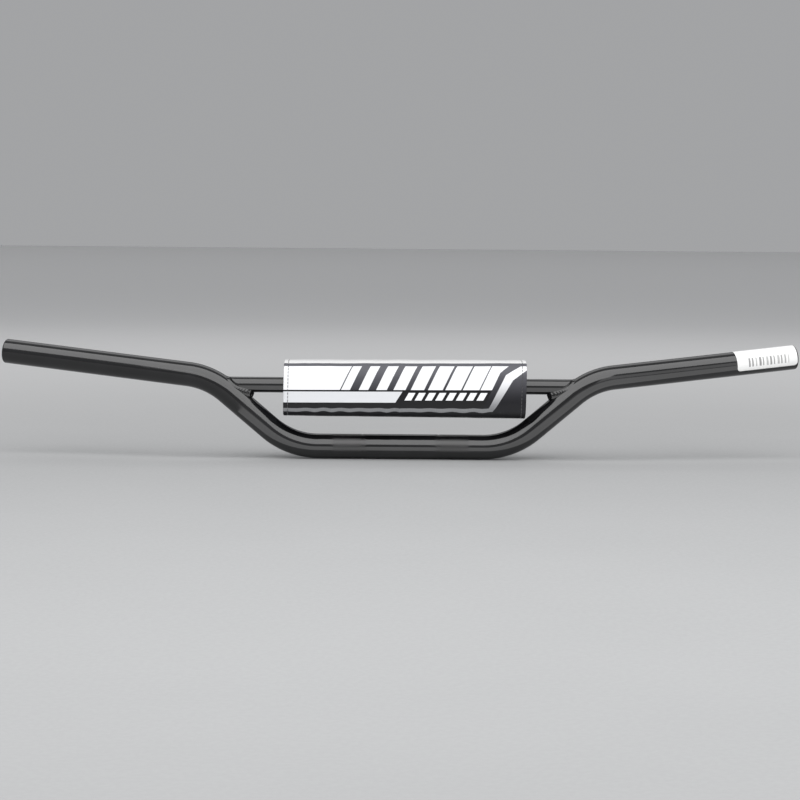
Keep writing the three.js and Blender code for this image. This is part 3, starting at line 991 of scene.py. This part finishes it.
def printed_vinyl():
    """White vinyl with a made-up print of bars and stripes, and black behind the top edge; painted shade
    greys its lower stripes and bands, and its top band.
    """
    nodes = Nodes("printed_vinyl", Specular_IOR_Level=0.15)
    x, up = nodes.printed()
    paper = nodes.noise(30, detail=2)
    halftone = (x * 1.05 + up * 0.6).fraction().distance(0.5) + (
        (x * -0.6 + up * 1.05).fraction().distance(0.5)
    )
    white = nodes.mix(paper, (0.67, 0.675, 0.69), (0.72, 0.725, 0.74))
    # Grey with a halftone print, for the stripes low on the front: white stripe darkened as painted
    # shade
    stripe_shade_grey = nodes.mix(halftone.ramp(0.3, 0.62), (0.12, 0.122, 0.128), (0.20, 0.203, 0.21))
    charcoal = nodes.mix(up.ramp(-14, 20), (0.008, 0.008, 0.010), (0.085, 0.085, 0.096))
    black = nodes.mix(paper, (0.006, 0.006, 0.007), (0.010, 0.010, 0.011))

    def rising(through, slope):
        """The height-dependent x of a straight line on the print."""
        return (up - through[1]) * slope + through[0]

    def edge(low_point, low_slope, high_point, high_slope):
        return nodes.highest(rising(low_point, low_slope), rising(high_point, high_slope))

    def right_of(line, blur=0.15):
        return (x - line).above(0, blur)

    band_edge = edge((80.7, -2.0), 0.46, (89.3, 15.2), 1.13)
    stripe_left = edge((93.2, 12.1), 0.48, (93.2, 12.1), 1.557)
    stripe_right = edge((99.7, 7.5), 0.593, (99.7, 7.5), 1.33)
    # Upper row: slanted dark stripes on white that grow thinner to the right
    slanted = x - (up - 9) * 0.47
    cell = (slanted + 61) * (1 / 16)
    bar_half = slanted.ramp(-60, 84, 0.26, 0.03)
    bars = cell.fraction().distance(0.5).below(bar_half, 0.01) * slanted.between(-50, 88)
    ink = nodes.mix(bars, white, charcoal)
    # Lower row: a white band greyed with painted shade, where the front starts to turn down, that ends
    # in a slanted wedge, then small white dashes on black
    wedge = (x - (up + 2.1) * 0.62).above(1.5)
    below_line = up.below(PRINT_LOWER_TOP)
    dash_row = x - (up + 7) * 0.55
    dashes = ((dash_row - 3.4) * (1 / 9.2)).fraction().distance(0.5).below(0.33, 0.015)
    dashes = dashes * up.between(*PRINT_DASHES) * dash_row.between(5, 76)
    lower = nodes.mix(wedge, (0.545, 0.553, 0.57), black)
    lower = nodes.mix(dashes, lower, white)
    lower = nodes.mix(up.below(PRINT_LOWER_END), lower, black)
    ink = nodes.mix(below_line, ink, lower)
    ink = nodes.mix(up.between(*PRINT_LINE), ink, black)
    # Dark band, white stripe and black corner at the right; the bottom stripe and the foot of the white
    # stripe are painted grey, painted shade where the cover turns under
    ink = nodes.mix(right_of(band_edge), ink, charcoal)
    ink = nodes.mix(up.between(*PRINT_STRIPE), ink, stripe_shade_grey)
    stripe = nodes.mix(up.ramp(-20, 12), stripe_shade_grey, white)
    ink = nodes.mix(right_of(stripe_left), ink, stripe)
    ink = nodes.mix(right_of(stripe_right), ink, charcoal)
    # Grey above a thin dark line along the top edge: silver print, darkened further as painted shade on
    # the top face; black below the bottom stripe
    top_band_grey = nodes.mix(halftone.ramp(0.3, 0.62), 0.50, 0.60)
    top = nodes.mix(up.above(PRINT_TOP_GREY_FROM), charcoal, top_band_grey)
    ink = nodes.mix(up.above(PRINT_TOP_EDGE), ink, top)
    ink = nodes.mix(up.below(PRINT_STRIPE[0]), ink, black)
    ink = nodes.mix(up.above(PRINT_BLACK_FROM), ink, black)
    roughness = paper.ramp(0.3, 0.7, 0.34, 0.44)
    return nodes.finish(ink, roughness, vinyl_grain(nodes), depth=0.06)


def foam_rubber():
    nodes = Nodes("pad_foam")
    pores = nodes.cells(1.1).ramp(0.15, 0.6)
    fine = nodes.cells(0.45).ramp(0.1, 0.55)
    # Darker in the pores' hollows, where the bump sinks: painted shade
    colour = nodes.mix(pores, (0.016, 0.016, 0.017), (0.055, 0.055, 0.058))
    return nodes.finish(colour, pores.ramp(0, 1, 0.98, 0.88), pores * 0.7 + fine * 0.3, depth=0.5)


def woven_tape(name, tone):
    nodes = Nodes(name)
    split = nodes.add("ShaderNodeSeparateXYZ")
    nodes.feed(split.inputs[0], nodes.place())
    x, z = Value(nodes, split.outputs[0]), Value(nodes, split.outputs[2])
    turns = 2 * math.pi / (0.8 * MM)
    weave = nodes.math("SINE", x * turns) * nodes.math("SINE", z * turns)
    height = weave * 0.5 + 0.5
    fray = nodes.noise(3, detail=4)
    # Darker where the weave is low between threads: painted shade, varied by the fray noise
    colour = nodes.mix(height * fray, (tone * 0.5,) * 3, (tone * 1.6,) * 3)
    return nodes.finish(colour, fray.ramp(0.3, 0.7, 0.75, 0.95), height, depth=0.15)


def sewing_thread():
    nodes = Nodes("thread", Sheen_Weight=0.3)
    twist = nodes.noise(0.25, detail=2, stretch=(2.5, 1, 1))
    colour = nodes.mix(twist.ramp(0.3, 0.7), (0.012, 0.012, 0.013), (0.045, 0.045, 0.048))
    return nodes.finish(colour, twist.ramp(0.3, 0.7, 0.55, 0.75), twist, depth=0.08)


BLACK_VINYL = black_vinyl()
PRINTED_VINYL = printed_vinyl()
FOAM = foam_rubber()
HOOK_TAPE = woven_tape("hook_tape", 0.018)
LOOP_TAPE = woven_tape("loop_tape", 0.024)
THREAD = sewing_thread()

# ------------------------------------------------------------------ cover and flap


def pad_cover():
    along = PAD_FROM + edge_samples(PAD_TO - PAD_FROM)
    around = np.linspace(0, COVER_PATH.length, round(COVER_PATH.length / 1.2) + 1)
    from_end = from_ends(along)[None, :]
    outer, inner = hem_depths(from_end, pull_of_stitches(around)[:, None])
    faces = [on_cover(around[:, None], along[None, :], depth) for depth in (outer, inner)]
    climb = PRINT_SLOPE * (along - PAD_CENTRE)
    up = FRONT_MIDDLE - around[:, None] - climb[None, :] - PRINT_RAISE
    uv = np.stack(np.broadcast_arrays(along[None, :], up), axis=-1)
    made = add_piece(
        "pad_cover_vinyl",
        slab(*faces),
        [PRINTED_VINYL],
        "pad",
        "pad_cover",
        "printed_vinyl",
        uv=np.tile(uv.reshape(-1, 2), (2, 1)),
    )


def closure_flap():
    along = PAD_FROM + edge_samples(PAD_TO - PAD_FROM)
    around = FLAP_PATH.length - edge_samples(FLAP_PATH.length, both=False)[::-1]
    from_end = from_ends(along)[None, :]
    from_edge = (FLAP_PATH.length - around)[:, None]
    outer, inner = hem_depths(from_end, pull_of_stitches(around)[:, None])
    edge_outer, edge_inner = hem_depths(from_edge, 0)
    outer = np.maximum(outer, edge_outer)
    single = np.minimum(np.minimum(inner, edge_inner), COVER)
    inner = np.maximum(np.where(from_edge < 1, edge_inner, single), outer + THINNEST)
    faces = [on_flap(around[:, None], along[None, :], depth) for depth in (outer, inner)]
    made = mesh_object("closure_flap_vinyl", *slab(*faces), [BLACK_VINYL])
    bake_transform(made)
    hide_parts("closure_flap")


pad_cover()
closure_flap()

# ------------------------------------------------------------------ foam

FOAM_INSET = cover_high[0] - node_box("pad_foam")[1][0]
FOAM_DEPTH = 1.35  # of its face under the cover's outer face
FOAM_ROUNDING = 3.0
FOAM_BORE = CROSSBAR_RADIUS + 0.4
SLIT_HALF = 0.45


def pad_foam():
    """A block with a bore for the crossbar and a slit from it to the back, as one C section."""
    around = np.linspace(4, COVER_PATH.length - 4 - (FOLD - CROSSBAR_HEIGHT), 150)
    slit = math.asin(SLIT_HALF / FOAM_BORE)
    turn = np.linspace(slit, 2 * math.pi - slit, len(around))
    bore = np.column_stack([np.cos(turn), np.sin(turn)]) * FOAM_BORE + (0, CROSSBAR_HEIGHT)
    near = np.array([0, 0.25, 0.7, 1.4, 2.2, 3.0])
    low, high = PAD_FROM + FOAM_INSET, PAD_TO - FOAM_INSET
    middle = np.linspace(low + near[-1], high - near[-1], 70)[1:-1]
    along = np.concatenate([low + near, middle, high - near[::-1]])
    spans = np.linspace(0, 1, 7)

    def section(x):
        """Rows from the outside to the bore at one place along the pad."""
        from_end = min(x - low, high - x, FOAM_ROUNDING)
        lift = 1 - math.sqrt(1 - (1 - from_end / FOAM_ROUNDING) ** 2)
        depth = FOAM_DEPTH + COVER * (from_end < HEM_FOLD) + FOAM_ROUNDING * lift * 0.8
        outer = on_cover(around, x, depth)
        inner = leaned(x, bore[:, 0], bore[:, 1])
        return outer[None] * (1 - spans[:, None, None]) + inner[None] * spans[:, None, None]

    blocks = np.stack([section(x) for x in along])
    count, layers, steps = blocks.shape[:3]
    loops = [blocks[:, 0], blocks[:, 1:-1, -1], blocks[:, -1, ::-1], blocks[:, -2:0:-1, 0]]
    skin = np.concatenate(loops, axis=1)
    width = skin.shape[1]
    wall = grid_faces(count, width, close_columns=True)
    index = np.empty((layers, steps), int)
    index[0] = np.arange(steps)
    index[1:-1, -1] = steps + np.arange(layers - 2)
    index[-1] = (steps + layers - 2 + np.arange(steps))[::-1]
    index[-2:0:-1, 0] = width - (layers - 2) + np.arange(layers - 2)
    inside = layers - 2, steps - 2
    start = count * width
    first, last = index.copy(), index + (count - 1) * width
    first[1:-1, 1:-1] = start + np.arange(inside[0] * inside[1]).reshape(inside)
    last[1:-1, 1:-1] = first[1:-1, 1:-1] + inside[0] * inside[1]
    cap = grid_faces(layers, steps)
    points = [skin.reshape(-1, 3)] + [blocks[k, 1:-1, 1:-1].reshape(-1, 3) for k in (0, -1)]
    caps = [first.ravel()[cap], last.ravel()[cap[:, ::-1]]]
    made = add_piece(
        "pad_foam_block", (np.concatenate(points), [wall, *caps]), [FOAM], "pad", "pad_foam", "pad_foam"
    )


# ------------------------------------------------------------------ hook and loop tapes

TAPE_BASE = 0.45  # thickness of the woven tape under its hooks or loops
SELVAGE = 0.8  # plain edge, without hooks or loops
HOOK_SPACING = (2.6, 1.5)
HOOK_ROD = 0.09
LOOP_COUNT = 1700
LOOP_ROD = 0.05


def tape_base(low, high, face_out):
    """A thin woven strip with eased edges; face_out is the y direction of its hooks or loops."""
    back = low[1] if face_out > 0 else high[1]
    across = np.array([0, 0.08, 0.25])

    def samples(k, count):
        middle = np.linspace(low[k] + 1, high[k] - 1, count)
        return np.concatenate([low[k] + across, middle, high[k] - across[::-1]])

    x, z = samples(0, 160), samples(2, 16)
    edge = np.minimum(
        np.minimum(z - low[2], high[2] - z)[:, None], np.minimum(x - low[0], high[0] - x)[None, :]
    )
    round_off = TAPE_BASE * 0.35 * (1 - smooth(edge, 0, 0.4))
    grids = []
    for height in (TAPE_BASE - round_off, round_off):
        y = back + face_out * height
        grids.append(leaned(x[None, :], y, z[:, None]))
    return slab(*grids)


def hook_strip():
    low, high = node_box("hook_strip")
    path = np.array([[0, 0], [0, 0.3], [0.02, 0.52], [0.12, 0.7], [0.3, 0.76], [0.44, 0.68], [0.5, 0.5]])
    path = np.column_stack([path[:, 0], np.zeros(len(path)), path[:, 1]])
    radii = np.linspace(HOOK_ROD, HOOK_ROD * 0.8, len(path))
    hook = swept(path, radii, (0, 1, 0), 5)
    x = np.arange(low[0] + 1.5, high[0] - 1.5, HOOK_SPACING[0] / 2)
    z = np.arange(low[2] + SELVAGE + 0.4, high[2] - SELVAGE, HOOK_SPACING[1])
    x, z = (grid.ravel() for grid in np.meshgrid(x, z))
    random = np.random.default_rng(3)
    lean = random.normal(0, 0.12, len(x))
    side = np.where(random.random(len(x)) < 0.5, 1, -1)
    axes = np.zeros((len(x), 3, 3))
    axes[:, 0] = np.column_stack([side * np.cos(lean), np.zeros(len(x)), np.sin(lean)])
    axes[:, 2, 1] = -1
    axes[:, 1] = np.cross(axes[:, 2], axes[:, 0])
    origins = leaned(x, np.full(len(x), high[1] - TAPE_BASE + 0.05), z)
    shape = joined([tape_base(low, high, -1), copies(hook, origins, axes)])
    add_piece("hook_strip_tape", shape, [HOOK_TAPE], "flap", "hook_strip", "hook_tape")


def loop_strip():
    low, high = node_box("loop_strip")
    turn = np.linspace(-0.35, math.pi + 0.35, 9)
    path = np.column_stack([np.cos(turn) * 0.55, np.zeros(len(turn)), 0.2 + np.sin(turn) * 0.42])
    loop = swept(path, np.full(len(path), LOOP_ROD), (0, 1, 0), 4)
    random = np.random.default_rng(4)
    x = random.uniform(low[0] + 1, high[0] - 1, LOOP_COUNT)
    z = random.uniform(low[2] + SELVAGE, high[2] - SELVAGE, LOOP_COUNT)
    heading, tilt = random.uniform(0, math.pi, LOOP_COUNT), random.normal(0, 0.3, LOOP_COUNT)
    size = random.uniform(0.6, 1.0, LOOP_COUNT)[:, None]
    across = np.column_stack([np.cos(heading), np.zeros(LOOP_COUNT), np.sin(heading)])
    lean = np.column_stack([-np.sin(heading), np.zeros(LOOP_COUNT), np.cos(heading)])
    out = np.cos(tilt)[:, None] * np.array([0, 1, 0]) + np.sin(tilt)[:, None] * lean
    axes = np.stack([across * size, np.cross(out, across) * size, out * size], axis=1)
    origins = leaned(x, np.full(LOOP_COUNT, low[1] + TAPE_BASE - 0.05), z)
    shape = joined([tape_base(low, high, 1), copies(loop, origins, axes)])
    add_piece("loop_strip_tape", shape, [LOOP_TAPE], "pad", "loop_strip", "loop_tape")


# ------------------------------------------------------------------ stitching


def stitch_shape():
    """One stitch along x that humps out of its holes."""
    share = np.linspace(-1, 1, 9)
    hump = 0.12 - 0.42 * share**4
    path = np.column_stack([share * STITCH_LENGTH / 2, np.zeros(len(share)), hump])
    radii = STITCH_RADIUS * np.sqrt(1 - 0.75 * share**6)
    return swept(path, radii, (0, 1, 0), 8)


def stitches(name, centres, ahead, outward, body):
    """Stitches at the given places in place of a CAD thread."""
    ahead = unit(np.broadcast_to(np.asarray(ahead, float), centres.shape))
    outward = unit(np.broadcast_to(np.asarray(outward, float), centres.shape))
    axes = np.stack([ahead, np.cross(outward, ahead), outward], axis=1)
    shape = copies(stitch_shape(), centres, axes)
    add_piece(name + "_stitches", shape, [THREAD], body, name, "thread")


def hem_stitches(side, x):
    """Stitches round the cover and on down the flap, at one end."""
    around = np.arange(STITCH_PITCH, COVER_PATH.length - 2, STITCH_PITCH)
    centres = on_cover(around, x, HEM_PULL)
    ahead = on_cover(around + 0.4, x, 0) - on_cover(around - 0.4, x, 0)
    outward = np.cross(ahead, (1, 0, 0))
    outward *= np.sign(dots(outward[:, 1:], COVER_PATH.at(around)[1]))[:, None]
    stitches(f"hem_thread_{side}", centres, ahead, outward, "pad")
    low, high = node_box(f"flap_thread_{side}")
    down = PAD_TOP - PAD_CORNER - np.arange(low[2] + 1.2, high[2], STITCH_PITCH)
    around = down + SEAM_ANGLE * PAD_CORNER
    centres = on_flap(around, x, HEM_PULL)
    stitches(f"flap_thread_{side}", centres, (0, 0, 1), (0, 1, 0), "flap")


def tape_stitches(kind, row):
    """A row of stitches along a tape: the hook tape's show on the flap's outer face."""
    name = f"{kind}_thread_{row}"
    low, high = node_box(name)
    x = np.arange(low[0] + STITCH_PITCH / 2, high[0], STITCH_PITCH)
    z = (low[2] + high[2]) / 2
    if kind == "hook":
        around = np.full(len(x), PAD_TOP - PAD_CORNER - z + SEAM_ANGLE * PAD_CORNER)
        centres = on_flap(around, x, 0.12)
    else:
        centres = leaned(x, np.full(len(x), node_box("loop_strip")[0][1] + TAPE_BASE + 0.08), z)
    stitches(name, centres, (1, 0, 0), (0, 1, 0), "flap" if kind == "hook" else "pad")


pad_foam()
hook_strip()
loop_strip()
hem_stitches("left", PAD_FROM + HEM_LINE)
hem_stitches("right", PAD_TO - HEM_LINE)
for row in ("upper", "lower"):
    tape_stitches("hook", row)
    tape_stitches("loop", row)

# ------------------------------------------------------------------ sticker

LABEL_LENGTH = 58.8
LABEL_TO_END = 1.4
LABEL_FROM = math.radians(-40)  # from the top of the grip towards its front
LABEL_TO = math.radians(125)
LABEL_CORNER = 3.2
LABEL_LIFT = (0.02, 0.16)  # its faces above the paint


def label_paper():
    """White paper with made-up bars and faint dashes that say nothing."""
    nodes = Nodes("label_paper", Coat_Weight=0.15, Coat_Roughness=0.3)
    along, up = nodes.printed()
    fibre = nodes.noise(0.6, detail=3)
    paper = nodes.mix(fibre, (0.66, 0.66, 0.655), (0.73, 0.73, 0.725))
    step = along * (1 / 3.55)
    cell = step.floor()
    width = nodes.math("SINE", cell * 2.4) * 0.16 + 0.44
    bars = nodes.math("LESS_THAN", step.fraction(), width)
    gaps = nodes.math("SINE", cell * 4.1).above(0.1)
    slits = (along * 1.35 + 0.3).fraction().between(0.2, 0.5) * gaps
    bars = bars * nodes.math("SUBTRACT", 1.0, slits) * up.between(3.6, 11.6) * along.between(11, 50.5)
    dashes = (along * 0.9).fraction().between(0.15, 0.75) * (along * 0.21).fraction().above(0.25)
    rows = nodes.highest(up.between(14.2, 15.1), up.between(17.0, 17.8))
    faint = dashes * rows * along.between(9, 46)
    ink = nodes.mix(bars * 0.8, paper, (0.12, 0.12, 0.12))
    ink = nodes.mix(faint * 0.35, ink, (0.3, 0.3, 0.31))
    return nodes.finish(ink, fibre.ramp(0.3, 0.7, 0.42, 0.55), fibre, depth=0.015)


def label():
    arc = (LABEL_TO - LABEL_FROM) * TUBE_RADIUS
    edge = np.array([0, 0.05, 0.2, 0.5, 1.0, 1.7, 2.5, LABEL_CORNER])
    u = np.concatenate([edge, np.linspace(LABEL_CORNER, LABEL_LENGTH - LABEL_CORNER, 40)[1:-1]])
    u = np.concatenate([u, LABEL_LENGTH - edge[::-1]])
    share = np.linspace(0, 1, 49)
    from_end = np.minimum(np.minimum(u, LABEL_LENGTH - u), LABEL_CORNER)
    cut = LABEL_CORNER - np.sqrt(LABEL_CORNER**2 - (LABEL_CORNER - from_end) ** 2)
    up = cut[None, :] + share[:, None] * (arc - 2 * cut)[None, :]
    distances = AXIS.length - LABEL_TO_END - LABEL_LENGTH + u
    angles = LABEL_TO - up / TUBE_RADIUS
    grids = [
        round_axis(distances, TUBE_RADIUS + lift, angles.T).transpose(1, 0, 2)
        for lift in LABEL_LIFT[::-1]
    ]
    uv = np.stack(np.broadcast_arrays(u[None, :], up), axis=-1).reshape(-1, 2)
    add_piece(
        "label_sticker",
        slab(*grids),
        [label_paper()],
        "bar",
        "label",
        "label_paper",
        uv=np.tile(uv, (2, 1)),
    )


label()
